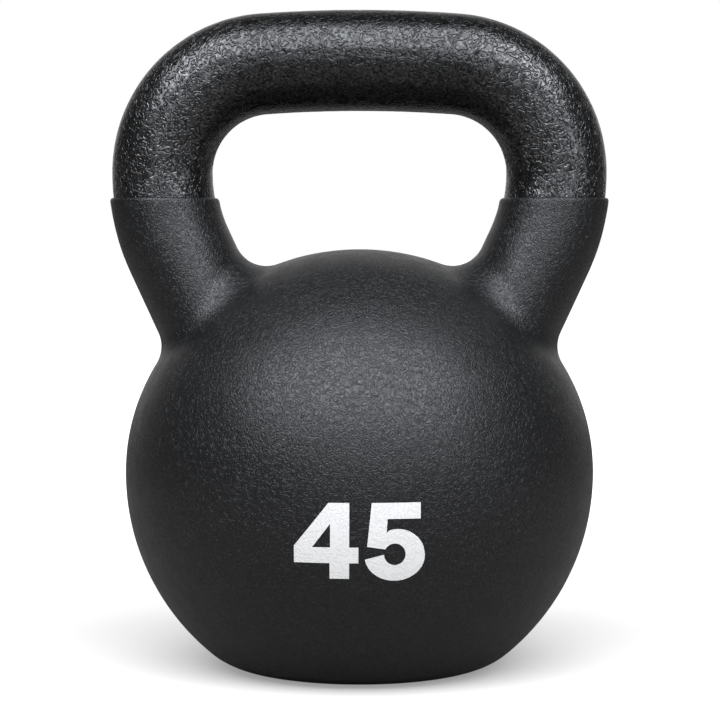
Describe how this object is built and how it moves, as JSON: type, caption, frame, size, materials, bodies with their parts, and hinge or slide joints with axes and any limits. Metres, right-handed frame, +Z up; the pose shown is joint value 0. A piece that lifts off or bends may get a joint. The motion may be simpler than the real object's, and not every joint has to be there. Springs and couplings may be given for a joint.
{
  "type": "kettlebell",
  "caption": "Cast-iron kettlebell with a round vinyl-dipped bell on a flat base and a wide enamelled loop handle.",
  "frame": {"origin": "middle of the flat underside of the vinyl jacket, where the kettlebell stands", "axes": "+Z up; X along the grip from horn to horn; the front faces -Y and has the same shape as the back"},
  "size_m": [0.1852, 0.1742, 0.2438],
  "materials": {
    "grey_iron": "matte",
    "black_vinyl": "matte",
    "black_enamel": "satin",
    "white_print": "matte"
  },
  "bodies": {
    "root": {"iron_casting": "grey_iron", "vinyl_jacket": "black_vinyl", "handle_enamel": "black_enamel"}
  },
  "joints": []
}
